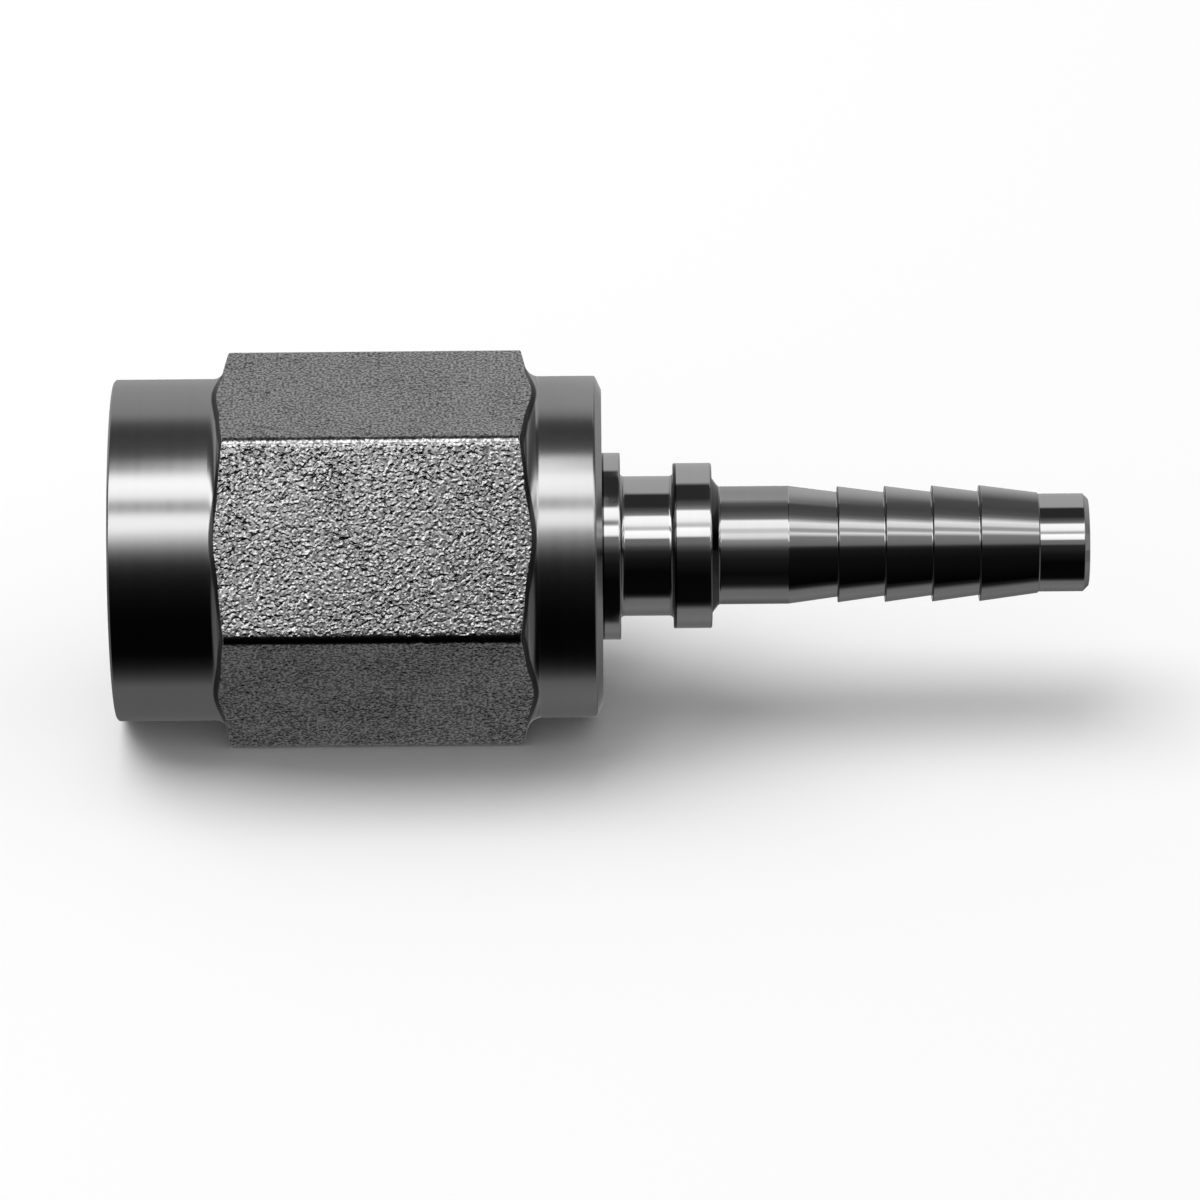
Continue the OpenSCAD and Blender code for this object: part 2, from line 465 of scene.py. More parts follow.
# %% [markdown]
# A lathe made of nodes
#
# Everything on this fitting but the hexagon is turned, so a lathe is the first tool to build. The tree
# takes a profile as a chain of points (place along the axis as X, radius as Y), lays out a grid with
# one row for each point, and wraps the grid round the axis. Where the piece is to be welded to
# another, both need the same columns, so the angle of a column is one rule that all the trees share.
# The rule can crowd the columns near the hexagon's six corners, where the round edges need them.

# %% Helpers for geometry trees
WELD = 0.000002


def column_and_row(tree, columns):
    """For each point of a grid with columns + 1 points in a row: its column and its row."""
    index = tree.nodes.new("GeometryNodeInputIndex").outputs[0]
    in_row = maths(tree, "ADD", columns, 1.0)
    row = maths(tree, "FLOOR", maths(tree, "DIVIDE", index, in_row))
    return maths(tree, "MODULO", index, in_row), row


def column_angle_nodes(tree, column, columns, crowding):
    """The angle of a column: even steps, pulled towards the six corners by the crowding."""
    even = maths(tree, "MULTIPLY", maths(tree, "DIVIDE", column, columns), math.tau)
    wave = maths(tree, "SINE", maths(tree, "MULTIPLY", even, 6.0))
    pull = maths(tree, "MULTIPLY", wave, maths(tree, "DIVIDE", crowding, 6.0))
    return maths(tree, "SUBTRACT", even, pull)


def wrap_nodes(tree, along, radius, angle):
    """A position from a place along the axis, a radius and an angle."""
    parts = (maths(tree, "MULTIPLY", radius, maths(tree, kind, angle)) for kind in ("COSINE", "SINE"))
    return vector_of(tree, along, *parts)


def finish_tree(tree, result, geometry, material):
    """Welds the seam, realizes instances, sets the material and ends the tree."""
    real = node_with(tree, "GeometryNodeRealizeInstances", Geometry=geometry)
    merged = node_with(tree, "GeometryNodeMergeByDistance", Geometry=real.outputs[0], Distance=WELD)
    coated = node_with(tree, "GeometryNodeSetMaterial", Geometry=merged.outputs[0], Material=material)
    feed(tree, result[0], coated.outputs[0])


print(f"points closer than {WELD / MM:.3f} mm are merged")

# %% The lathe
def build_lathe():
    """Turns a chain of points round the X axis, and repeats it along the axis."""
    tree, given, result = new_group(
        "Lathe",
        "GeometryNodeTree",
        [
            ("Profile", "Geometry", None), ("Columns", "Int", 144), ("Crowding", "Float", 0.0),
            ("Copies", "Int", 1), ("Copy step", "Float", 0.0), ("Material", "Material", None),
        ],
        [("Geometry", "Geometry")],
    )
    profile, columns, crowding, copies, copy_step, material = given[:6]
    size = node_with(tree, "GeometryNodeAttributeDomainSize", Geometry=profile)
    in_row = maths(tree, "ADD", columns, 1.0)
    rows = size.outputs["Point Count"]
    grid = node_with(tree, "GeometryNodeMeshGrid", Vertices_X=rows, Vertices_Y=in_row)
    column, row = column_and_row(tree, columns)
    angle = column_angle_nodes(tree, column, columns, crowding)
    sample = tree.nodes.new("GeometryNodeSampleIndex")
    sample.data_type = "FLOAT_VECTOR"
    position = tree.nodes.new("GeometryNodeInputPosition").outputs[0]
    put(tree, sample, Geometry=profile, Value=position, Index=row)
    point = parts_of(tree, sample.outputs["Value"])
    place = wrap_nodes(tree, point[0], point[1], angle)
    shaped = node_with(tree, "GeometryNodeSetPosition", Geometry=grid.outputs["Mesh"], Position=place)
    line = node_with(tree, "GeometryNodeMeshLine", Count=copies, Offset=vector_of(tree, copy_step))
    made = {"Points": line.outputs[0], "Instance": shaped.outputs[0]}
    all_copies = node_with(tree, "GeometryNodeInstanceOnPoints", **made)
    finish_tree(tree, result, all_copies.outputs[0], material)
    return tree


lathe = build_lathe()
print("tree:", lathe.name)

# %% Running a tree on a profile
def new_object(name, data):
    """An object in the scene."""
    thing = bpy.data.objects.new(name, data)
    bpy.context.scene.collection.objects.link(thing)
    return thing


def chain_object(name, points):
    """An object whose mesh is a chain of profile points, given in millimetres."""
    mesh = bpy.data.meshes.new(name)
    places = [(x * MM, r * MM, 0) for x, r in points]
    mesh.from_pydata(places, [(i, i + 1) for i in range(len(places) - 1)], [])
    return new_object(name, mesh)


def run_tree(tree, thing, **values):
    """Runs a geometry tree on an object and returns the result as a plain mesh."""
    modifier = thing.modifiers.new(tree.name, "NODES")
    modifier.node_group = tree
    sockets = {item.name: item.identifier for item in tree.interface.items_tree if item.in_out == "INPUT"}
    for name, value in values.items():
        modifier[sockets[name.replace("_", " ")]] = value
    seen = bpy.context.evaluated_depsgraph_get()
    mesh = bpy.data.meshes.new_from_object(thing.evaluated_get(seen))
    thing.modifiers.remove(modifier)
    bpy.data.objects.remove(thing)
    return mesh


def turn_profile(name, points, material, columns, crowding=0.0, copies=1, step=0.0):
    """Turns a profile on the lathe."""
    mesh = run_tree(
        lathe,
        chain_object(name, points),
        Columns=columns,
        Crowding=crowding,
        Copies=copies,
        Copy_step=step * MM,
        Material=material,
    )
    print(f"{name}: {len(points)} profile points, {len(mesh.polygons)} faces")
    return mesh


# %% Welding turned parts into one piece
CREASE_DEG = 32


def weld_piece(name, meshes):
    """Joins meshes that share their end rings into one closed piece, with its faces outwards."""
    joined = bmesh.new()
    materials = []
    for mesh in meshes:
        first = len(joined.faces)
        joined.from_mesh(mesh)
        joined.faces.ensure_lookup_table()
        table = []
        for material in mesh.materials:
            if material not in materials:
                materials.append(material)
            table.append(materials.index(material))
        for face in joined.faces[first:]:
            face.material_index = table[min(face.material_index, len(table) - 1)]
    bmesh.ops.remove_doubles(joined, verts=joined.verts, dist=WELD)
    bmesh.ops.dissolve_degenerate(joined, edges=joined.edges, dist=WELD / 4)
    bmesh.ops.recalc_face_normals(joined, faces=joined.faces)
    open_edges = sum(1 for edge in joined.edges if not edge.is_manifold)
    for face in joined.faces:
        face.smooth = True
    for edge in joined.edges:
        if edge.is_manifold and edge.calc_face_angle() > math.radians(CREASE_DEG):
            edge.smooth = False
    result = bpy.data.meshes.new(name)
    joined.to_mesh(result)
    volume = joined.calc_volume() / MM ** 3
    print(f"{name}: {len(result.polygons)} faces, open edges {open_edges}, volume {volume:.0f} mm3")
    joined.free()
    for material in materials:
        result.materials.append(material)
    for mesh in meshes:
        bpy.data.meshes.remove(mesh)
    return new_object(name, result)


print(f"edges that turn by over {CREASE_DEG} degrees stay sharp")

# %% [markdown]
# The hose stem
#
# The stem is turned from one bar: the cone that seals in the nut, the shank that the nut turns on, the
# neck and collar that lock the ferrule, then the hose tail. The hose is pushed over the barbs and can't
# come back. Each barb is the same ring with a sharp step on the collar's side and a slow fall towards
# the end, so one ring is turned and the lathe tree copies it along the axis. The last barb falls
# further, to the plain nose, and belongs to the end piece.

# %% The stem's sizes
TIP_R = 3.2
GROOVE_R = WIRE_R + WIRE_PLAY
SHANK_END = NUT_REAR + 1.0
NECK_R = 7.7 / 2
NECK_END = SHANK_END + 2.89
LOCK_R = 9.1 / 2
LOCK_END = NECK_END + 2.12
LOCK_CONE_RISE = 0.5
LAND_START = LOCK_END + 0.38
LAND_END = LAND_START + 3.82
TAPER_LEN = 2.72
FIRST_BARB = LAND_END + TAPER_LEN
BARBS = 4
BARB_PITCH = 2.6
BARB_DEPTH = 0.35
CREST_R = LAND_R - 0.05
BARB_SLOPE = BARB_DEPTH / BARB_PITCH
ROOT_R = CREST_R - BARB_DEPTH
STEP_MIDDLE_R = (CREST_R + ROOT_R) / 2
LAST_BARB = FIRST_BARB + (BARBS - 1) * BARB_PITCH
LAST_CONE_LEN = 3.2
NOSE_R = 5.4 / 2
NOSE_STEP = 0.05
TAIL_CHAMFER = 0.3
BORE_CHAMFER = 0.2
STEM_COLUMNS = 160


def groove_arc(centre_x, centre_r, radius, from_deg, to_deg, steps=10):
    """Points on an arc in the profile's plane, from one angle to another."""
    angles = [math.radians(from_deg + (to_deg - from_deg) * i / steps) for i in range(steps + 1)]
    return [(centre_x + radius * math.cos(a), centre_r + radius * math.sin(a)) for a in angles]


print(f"tail: land {2 * LAND_R:.1f} mm, {BARBS} barbs {BARB_PITCH} mm apart, nose {2 * NOSE_R:.1f} mm")

# %% [markdown]
# Painted shade at the steps
#
# The corner of each step, and the narrow gap beside the nut, lie in shade and mirror dark faces, so a
# thin ring of painted shade goes round the stem there. A ring is a plain fact about the place along the
# axis, so no drawing is needed: the material compares its X with a short list of places and darkens the
# steel where one is close enough.

# %% Painted shade rings on the stem
# Rings of painted shade, at the step corners and beside the nut's rear face.
SHADE_RING_BRIGHTNESS = 0.15
STEM_SHADE_RINGS = [(NUT_REAR + 0.03, 0.07), (NECK_END + 0.05, 0.12), (LOCK_END + 0.17, 0.20)]
STEM_SHADE_RINGS += [(FIRST_BARB + i * BARB_PITCH, 0.045) for i in range(BARBS)]


def painted_shade_rings(material, rings, darkest):
    """Painted shade in narrow rings round the axis, given in millimetres as (place along the axis, half
    width).
    """
    tree = material.node_tree
    along = parts_of(tree, place_on_piece(tree))[0]
    mark = 0.0
    for place, half in rings:
        near = maths(tree, "COMPARE", along, place * MM, half * MM)
        mark = maths(tree, "MAXIMUM", mark, near)
    colour = tree.nodes["Principled BSDF"].inputs["Base Color"].links[0].from_node
    kept = maths(tree, "MULTIPLY_ADD", mark, darkest - 1, 1.0)
    grey = maths(tree, "MULTIPLY", colour.inputs[0].links[0].from_socket, kept)
    for socket in colour.inputs:
        feed(tree, socket, grey)
    print(material.name, "gets", len(rings), "dark rings")


painted_shade_rings(bright, STEM_SHADE_RINGS, SHADE_RING_BRIGHTNESS)

# %% Turn the stem
shank_cut_deg = math.degrees(math.asin((WIRE_RING_R - SHANK_R) / GROOVE_R))
wire_groove = groove_arc(WIRE_X, WIRE_RING_R, GROOVE_R, -180 + shank_cut_deg, -shank_cut_deg)
front_profile = (
    rounded([
        (TAIL_END - BORE_CHAMFER, BORE_R, 0),
        (STEM_TIP + BORE_CHAMFER, BORE_R, 0.03),
        (STEM_TIP, BORE_R + BORE_CHAMFER, 0.03),
        (STEM_TIP, TIP_R, 0.12),
        (CONE_BASE, SHANK_R, 0.15),
        (wire_groove[0][0], SHANK_R, 0),
    ])
    + wire_groove[1:-1]
    + rounded([
        (wire_groove[-1][0], SHANK_R, 0),
        (SHANK_END, SHANK_R, 0.08),
        (SHANK_END, NECK_R, 0.2),
        (NECK_END, NECK_R, 0.2),
        (NECK_END, LOCK_R, 0.1),
        (LOCK_END, LOCK_R, 0.1),
        (LOCK_END, LAND_R + LOCK_CONE_RISE, 0.05),
        (LAND_START, LAND_R, 0.2),
        (LAND_END, LAND_R, 0.6),
        (FIRST_BARB, LAND_R - BARB_SLOPE * TAPER_LEN, 0.1),
        (FIRST_BARB, STEP_MIDDLE_R, 0),
    ])
)
barb_profile = rounded([
    (FIRST_BARB, STEP_MIDDLE_R, 0),
    (FIRST_BARB, CREST_R, 0.04),
    (FIRST_BARB + BARB_PITCH, ROOT_R, 0.1),
    (FIRST_BARB + BARB_PITCH, STEP_MIDDLE_R, 0),
])
end_profile = rounded([
    (LAST_BARB, STEP_MIDDLE_R, 0),
    (LAST_BARB, CREST_R, 0.04),
    (LAST_BARB + LAST_CONE_LEN, CREST_R - BARB_SLOPE * LAST_CONE_LEN, 0.02),
    (LAST_BARB + LAST_CONE_LEN + NOSE_STEP, NOSE_R, 0.02),
    (TAIL_END - TAIL_CHAMFER, NOSE_R, 0.05),
    (TAIL_END, NOSE_R - TAIL_CHAMFER, 0.05),
    (TAIL_END, BORE_R + BORE_CHAMFER, 0.03),
    (TAIL_END - BORE_CHAMFER, BORE_R, 0),
])
stem = weld_piece(
    "barbed_stem",
    [
        turn_profile("stem_front", front_profile, bright, STEM_COLUMNS),
        turn_profile("barb_rings", barb_profile, bright, STEM_COLUMNS, copies=BARBS - 1, step=BARB_PITCH),
        turn_profile("stem_end", end_profile, bright, STEM_COLUMNS),
    ],
)

# %% [markdown]
# The inside thread
#
# A parallel pipe thread is a wall that rises one pitch in each turn. Its section is a zigzag with its
# tips rounded off, and two cones cut it: the mouth's chamfer in front and the relief's behind. Sweeping
# a section along a helix leaves the ends ragged, so the tree bends a grid instead. Each column is slid
# along the axis by its share of a pitch, which makes the grid's rows follow the helix, and rows that
# run past an end are folded onto it. The wall then ends in two plain rings that weld to the nut.

# %% The thread tree
NUT_COLUMNS = 216
CROWDING = 0.72
ROWS_PER_PITCH = 20
FLANK_DEG = 27.5
THREAD_ROUNDING = 0.28
THREAD_START = NUT_FRONT + MOUTH_R - MAJOR_R
THREAD_STOP = THREAD_END + MAJOR_R - MINOR_R


def build_thread_wall():
    """The wall of an inside thread, from its mouth to its relief."""
    tree, given, result = new_group(
        "Thread wall",
        "GeometryNodeTree",
        [
            ("Geometry", "Geometry", None), ("Columns", "Int", 216), ("Crowding", "Float", 0.0),
            ("Rows per pitch", "Int", 20), ("Pitch", "Float", 0.001), ("Major radius", "Float", 0.006),
            ("Minor radius", "Float", 0.005), ("Flank slope", "Float", 0.5),
            ("Rounding", "Float", 0.0002), ("Start", "Float", 0.0), ("Stop", "Float", 0.01),
            ("Material", "Material", None),
        ],
        [("Geometry", "Geometry")],
    )
    columns, crowding, per_pitch, pitch = given[1:5]
    major, minor, slope, rounding, start, stop, material = given[5:12]

    def calc(operation, *values):
        return maths(tree, operation, *values)

    pitches = calc("ADD", calc("DIVIDE", calc("SUBTRACT", stop, start), pitch), 1.0)
    rows = calc("ADD", calc("CEIL", calc("MULTIPLY", pitches, per_pitch)), 1.0)
    grid = node_with(tree, "GeometryNodeMeshGrid", Vertices_X=rows, Vertices_Y=calc("ADD", columns, 1.0))
    column, row = column_and_row(tree, columns)
    angle = column_angle_nodes(tree, column, columns, crowding)
    turns = calc("DIVIDE", row, per_pitch)
    climb = calc("SUBTRACT", calc("ADD", turns, calc("DIVIDE", angle, math.tau)), 1.0)
    free = calc("MULTIPLY_ADD", climb, pitch, start)
    along = calc("MINIMUM", calc("MAXIMUM", free, start), stop)
    zigzag = calc("SUBTRACT", calc("ABSOLUTE", calc("SUBTRACT", calc("FRACT", turns), 0.5)), 0.25)
    rise = calc("DIVIDE", calc("MULTIPLY", zigzag, pitch), slope)
    sharp = calc("ADD", calc("MULTIPLY", calc("ADD", major, minor), 0.5), rise)
    root = calc("SMOOTH_MIN", sharp, major, rounding)
    wall = calc("SMOOTH_MAX", root, minor, rounding)
    mouth = calc("SUBTRACT", major, calc("SUBTRACT", along, start))
    relief = calc("SUBTRACT", major, calc("SUBTRACT", stop, along))
    radius = calc("MINIMUM", calc("MAXIMUM", calc("MAXIMUM", wall, mouth), relief), major)
    place = wrap_nodes(tree, along, radius, angle)
    shaped = node_with(tree, "GeometryNodeSetPosition", Geometry=grid.outputs["Mesh"], Position=place)
    finish_tree(tree, result, shaped.outputs[0], material)
    return tree


thread_mesh = run_tree(
    build_thread_wall(),
    chain_object("thread_wall", [(0, 0)]),
    Columns=NUT_COLUMNS,
    Crowding=CROWDING,
    Rows_per_pitch=ROWS_PER_PITCH,
    Pitch=PITCH * MM,
    Major_radius=MAJOR_R * MM,
    Minor_radius=MINOR_R * MM,
    Flank_slope=math.tan(math.radians(FLANK_DEG)),
    Rounding=THREAD_ROUNDING * MM,
    Start=THREAD_START * MM,
    Stop=THREAD_STOP * MM,
    Material=thread_steel,
)
print("thread wall:", len(thread_mesh.polygons), "faces")

# %% [markdown]
# The nut's body
#
# The nut is hexagon bar with both ends turned down. Where the turning tool runs out of the bar, each
# flat ends in a curved edge: the chamfer's cone meets a plane. A boolean cut would make that edge too,
# but it leaves long thin faces that shade badly. Here the nut is made column by column: for each angle
# the bar has one known radius, the outline is followed until it reaches that radius, and then the
# column runs straight along the flat to the other end. So the grid's lines lie on the curved edge.

# %% The bar's section
BAR_EDGE = 0.7
SIXTH = math.radians(60)


def column_angle(column):
    """The same rule as in the trees: even steps, pulled towards the hexagon's corners."""
    even = math.tau * column / NUT_COLUMNS
    return even - CROWDING / 6 * math.sin(6 * even)


def bar_radius(angle):
    """Radius of the hexagon bar at an angle from a corner, with its edges rounded."""
    from_flat = abs(angle % SIXTH - SIXTH / 2)
    round_centre = (FLAT - BAR_EDGE) / math.cos(SIXTH / 2)
    if FLAT * math.tan(from_flat) <= (FLAT - BAR_EDGE) * math.tan(SIXTH / 2):
        return FLAT / math.cos(from_flat)
    off = SIXTH / 2 - from_flat
    return round_centre * math.cos(off) + math.sqrt(BAR_EDGE ** 2 - (round_centre * math.sin(off)) ** 2)


print(f"bar: {2 * bar_radius(0):.2f} mm across its rounded corners")

# %% Where a flat ends
FILLET_STEPS = 9
CONE_STEPS = 5
EDGE_STEPS = 3
EDGE_BREAK = 0.07
MOST_OF_CONE = 0.8


def flat_end(limit, run_out_r, corner_deg):
    """Outline from the turned end up to the bar's radius, as (distance into the hexagon, radius)."""
    steepest = math.radians(90 - corner_deg)
    top = TURNED_R + run_out_r * (1 - math.cos(steepest))
    sweep = steepest if limit > top else math.acos(1 - (limit - TURNED_R) / run_out_r)
    points = []
    for i in range(FILLET_STEPS + 1):
        a = sweep * i / FILLET_STEPS
        points.append((run_out_r * math.sin(a), TURNED_R + run_out_r * (1 - math.cos(a))))
    start, foot = points[-1]
    for i in range(1, CONE_STEPS + 1):
        r = foot + (limit - foot) * i / CONE_STEPS
        points.append((start + (r - foot) * math.tan(math.radians(corner_deg)), r))
    return points


def softened(points):
    """Rounds the edge between the last point of an outline and the flat that follows it."""
    edge = Vector(points[-1])
    back = Vector(points[-2]) - edge
    if back.length < 1e-6:
        back = Vector(points[FILLET_STEPS - 1]) - edge
    reach = min(EDGE_BREAK, back.length * MOST_OF_CONE)
    first = edge + back.normalized() * reach
    last = edge + Vector((reach, 0))
    soft = []
    for i in range(EDGE_STEPS + 1):
        t = i / EDGE_STEPS
        soft.append(first.lerp(edge, t).lerp(edge.lerp(last, t), t))
    return points[:-1] + [(p[0], p[1]) for p in soft]


flat_edge = flat_end(FLAT, RUN_OUT_FRONT_R, FRONT_CORNER_DEG)[-1]
print(f"the middle of a flat ends {flat_edge[0]:.2f} mm into the front run-out")

# %% The nut's column by column outline
FLAT_STEPS = 10
BORE_EDGE = 0.12

mouth_and_skirt = rounded([
    (THREAD_START, MAJOR_R, 0),
    (NUT_FRONT, MOUTH_R, 0.06),
    (NUT_FRONT, TURNED_R - SKIRT_CHAMFER, 0.06),
    (NUT_FRONT + SKIRT_CHAMFER, TURNED_R, 0.06),
    (RUN_OUT_FRONT, TURNED_R, 0),
])
nut_cut_deg = math.degrees(math.asin((REAR_BORE_R - WIRE_RING_R) / GROOVE_R))
nut_groove = groove_arc(WIRE_X, WIRE_RING_R, GROOVE_R, nut_cut_deg, 180 - nut_cut_deg)
collar_and_bore = (
    rounded([
        (RUN_OUT_REAR, TURNED_R, 0),
        (NUT_REAR - COLLAR_CHAMFER, TURNED_R, 0.15),
        (NUT_REAR, TURNED_R - COLLAR_CHAMFER_RISE, 0.1),
        (NUT_REAR, REAR_BORE_R + BORE_EDGE, 0.04),
        (NUT_REAR - BORE_EDGE, REAR_BORE_R, 0.04),
        (nut_groove[0][0], REAR_BORE_R, 0),
    ])
    + nut_groove[1:-1]
    + rounded([
        (nut_groove[-1][0], REAR_BORE_R, 0),
        (INNER_SHOULDER, REAR_BORE_R, 0.05),
        (INNER_SHOULDER, RELIEF_R, 0.2),
        (THREAD_END + RELIEF_R - MINOR_R, RELIEF_R, 0.1),
        (THREAD_STOP, MAJOR_R, 0),
    ])
)


def nut_column(angle):
    """The nut's outline at one angle, from the thread's mouth round the outside to the thread's end."""
    limit = bar_radius(angle)
    front = softened(flat_end(limit, RUN_OUT_FRONT_R, FRONT_CORNER_DEG))
    rear = softened(flat_end(limit, RUN_OUT_REAR_R, REAR_CORNER_DEG))
    front = [(RUN_OUT_FRONT + x, r) for x, r in front]
    rear = [(RUN_OUT_REAR - x, r) for x, r in reversed(rear)]
    low, high = front[-1][0], rear[0][0]
    inner = [low + (high - low) * i / FLAT_STEPS for i in range(1, FLAT_STEPS)]
    flat = [(x, limit) for x in [low + HOLD] + inner + [high - HOLD]]
    return mouth_and_skirt[:-1] + front + flat + rear + collar_and_bore[1:]


bar_from = len(mouth_and_skirt) - 1 + FILLET_STEPS + CONE_STEPS
bar_rows = range(bar_from, bar_from + 2 * EDGE_STEPS + FLAT_STEPS + 2)
print("rows on a flat:", len(bar_rows))

# %% Build and weld the nut
ARC_REACH = 0.5
RISE_WEIGHT = 0.2
RUBBED_WIDTH = 0.38
RUBBED_FADE = 0.15


def edge_marks(angle, outline):
    """For each point of a column: how near it is to the end of a flat, and to an edge of the bar."""
    off = SIXTH / 2 - abs(angle % SIXTH - SIXTH / 2)
    along_face = FLAT / math.cos(SIXTH / 2) * math.sin(off)
    corner = max(0, min(1, (RUBBED_WIDTH - along_face) / RUBBED_FADE))
    first, last = outline[bar_rows[0]], outline[bar_rows[-1] + 1]
    marks = []
    for point in outline:
        gap = min(math.hypot(point[0] - x, RISE_WEIGHT * (point[1] - r)) for x, r in (first, last))
        marks.append((max(0, 1 - gap / ARC_REACH), corner))
    return marks


def nut_body_mesh():
    """The nut without its thread: satin where it is turned, bar skin on the flats."""
    columns = [nut_column(column_angle(c)) for c in range(NUT_COLUMNS)]
    rows = len(columns[0])
    places = []
    marks = []
    for c, outline in enumerate(columns):
        angle = column_angle(c)
        places += [(x * MM, r * math.cos(angle) * MM, r * math.sin(angle) * MM) for x, r in outline]
        marks += edge_marks(angle, outline)
    faces = []
    skins = []
    for c in range(NUT_COLUMNS):
        here, there = c * rows, (c + 1) % NUT_COLUMNS * rows
        for row in range(rows - 1):
            faces.append((here + row, there + row, there + row + 1, here + row + 1))
            skins.append(1 if row in bar_rows else 0)
    mesh = bpy.data.meshes.new("nut_body")
    mesh.from_pydata(places, [], faces)
    mesh.materials.append(satin)
    mesh.materials.append(bar)
    mesh.polygons.foreach_set("material_index", skins)
    for number, name in enumerate(("arc", "corner")):
        layer = mesh.attributes.new(name, "FLOAT", "POINT")
        layer.data.foreach_set("value", [mark[number] for mark in marks])
    return mesh


nut = weld_piece("threaded_nut", [nut_body_mesh(), thread_mesh])

# %% [markdown]
# The loading hole
#
# The wire is fed into its groove through a small hole in the collar, tangent to the groove. It is on
# the far lower side, so the picture doesn't show it, but the fitting is judged from all sides. A single
# round hole at a slant through a finished wall is what a boolean cut is good at.

# %% Drill the loading hole
LOADING_R = WIRE_R + 0.1
LOADING_DEPTH = 12
DRILL_SIDES = 32


def rod_mesh(name, radius, length, sides, direction, side, middle=(0, 0, 0)):
    """A round rod along a direction, in metres."""
    turn = Vector(direction).to_track_quat("Z", side).to_matrix()
    rod = bmesh.new()
    ends = {"radius1": radius, "radius2": radius}
    bmesh.ops.create_cone(rod, cap_ends=True, segments=sides, depth=length, **ends)
    bmesh.ops.rotate(rod, verts=rod.verts, cent=(0, 0, 0), matrix=turn)
    bmesh.ops.translate(rod, verts=rod.verts, vec=middle)
    mesh = bpy.data.meshes.new(name)
    rod.to_mesh(mesh)
    rod.free()
    return mesh


def drill(piece, radius, centre, length):
    """Cuts a round hole along +Y from a point, given in millimetres."""
    middle = (Vector(centre) + Vector((0, length / 2, 0))) * MM
    mesh = rod_mesh("drill", radius * MM, length * MM, DRILL_SIDES, (0, 1, 0), "X", middle)
    mesh.materials.append(satin)
    cutter = new_object("drill", mesh)
    cut = piece.modifiers.new("loading hole", "BOOLEAN")
    cut.operation = "DIFFERENCE"
    cut.solver = "EXACT"
    cut.object = cutter
    seen = bpy.context.evaluated_depsgraph_get()
    drilled = bpy.data.meshes.new_from_object(piece.evaluated_get(seen))
    piece.modifiers.remove(cut)
    bpy.data.objects.remove(cutter)
    piece.data = drilled
    return len(drilled.polygons)


print("nut after drilling:", drill(nut, LOADING_R, (WIRE_X, 0, -WIRE_RING_R), LOADING_DEPTH), "faces")

# %% [markdown]
# The retaining wire
#
# The wire is a plain round wire bent into an open ring. It lies half in the shank and half in the nut,
# so that it shears neither way and the nut can only turn. A piece that follows a path is one more job
# for a tree: an arc is the path, a small circle is the section.

# %% Bend the wire
WIRE_SWEEP_DEG = 340
WIRE_STEPS = 120
WIRE_SIDES = 20


def build_bent_wire():
    """A round wire bent round the X axis."""
    tree, given, result = new_group(
        "Bent wire",
        "GeometryNodeTree",
        [
            ("Geometry", "Geometry", None), ("Ring radius", "Float", 0.005),
            ("Wire radius", "Float", 0.0005), ("Sweep", "Float", 6.0), ("Along axis", "Float", 0.0),
            ("Material", "Material", None),
        ],
        [("Geometry", "Geometry")],
    )
    ring_r, wire_r, sweep, along, material = given[1:6]
    arc = node_with(tree, "GeometryNodeCurveArc", Resolution=WIRE_STEPS, Radius=ring_r, Sweep_Angle=sweep)
    section = node_with(tree, "GeometryNodeCurvePrimitiveCircle", Resolution=WIRE_SIDES, Radius=wire_r)
    swept = {"Curve": arc.outputs[0], "Profile_Curve": section.outputs[0], "Fill_Caps": True}
    bent = node_with(tree, "GeometryNodeCurveToMesh", **swept)
    onto_axis = {"Translation": vector_of(tree, along), "Rotation": (0, math.pi / 2, 0)}
    turned = node_with(tree, "GeometryNodeTransform", Geometry=bent.outputs[0], **onto_axis)
    finish_tree(tree, result, turned.outputs[0], material)
    return tree


wire_mesh = run_tree(
    build_bent_wire(),
    chain_object("wire", [(0, 0)]),
    Ring_radius=WIRE_RING_R * MM,
    Wire_radius=WIRE_R * MM,
    Sweep=math.radians(WIRE_SWEEP_DEG),
    Along_axis=WIRE_X * MM,
    Material=wire_steel,
)
wire = weld_piece("bent_wire", [wire_mesh])

# %% [markdown]
# Who moves with whom
#
# The stem is held by the hose. The nut turns round it and takes the wire along. Each piece stands for
# the solid whose place it takes.

# %% Hang the pieces on their bodies
for piece, body, node, slot in (
    (stem, "stem", "hose_stem", "stem_steel"),
    (nut, "nut", "swivel_nut", "nut_steel"),
    (wire, "nut", "retaining_wire", "wire_steel"),
):
    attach(piece, body)
    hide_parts(node)
    print(piece.name, "rides on", body)

# %% [markdown]
# The camera
#
# The picture was taken square to the axis, from far away with a long lens: the hexagon's near face
# looks almost straight at the lens, turned up by a little over two degrees. The fitting lies on one
# flat, so that face leans back by thirty degrees and the camera looks down on it.

# %% Place the camera
PICTURE_PX = 1200
PX_PER_MM = 1 / 0.05507
DISTANCE = 435.0
LOOK_DOWN_DEG = 27.6
ROLL_DEG = 0.5
AXIS_PX_Y = 546.4
GAUGE_PX_X = 380.0
SENSOR = 36.0

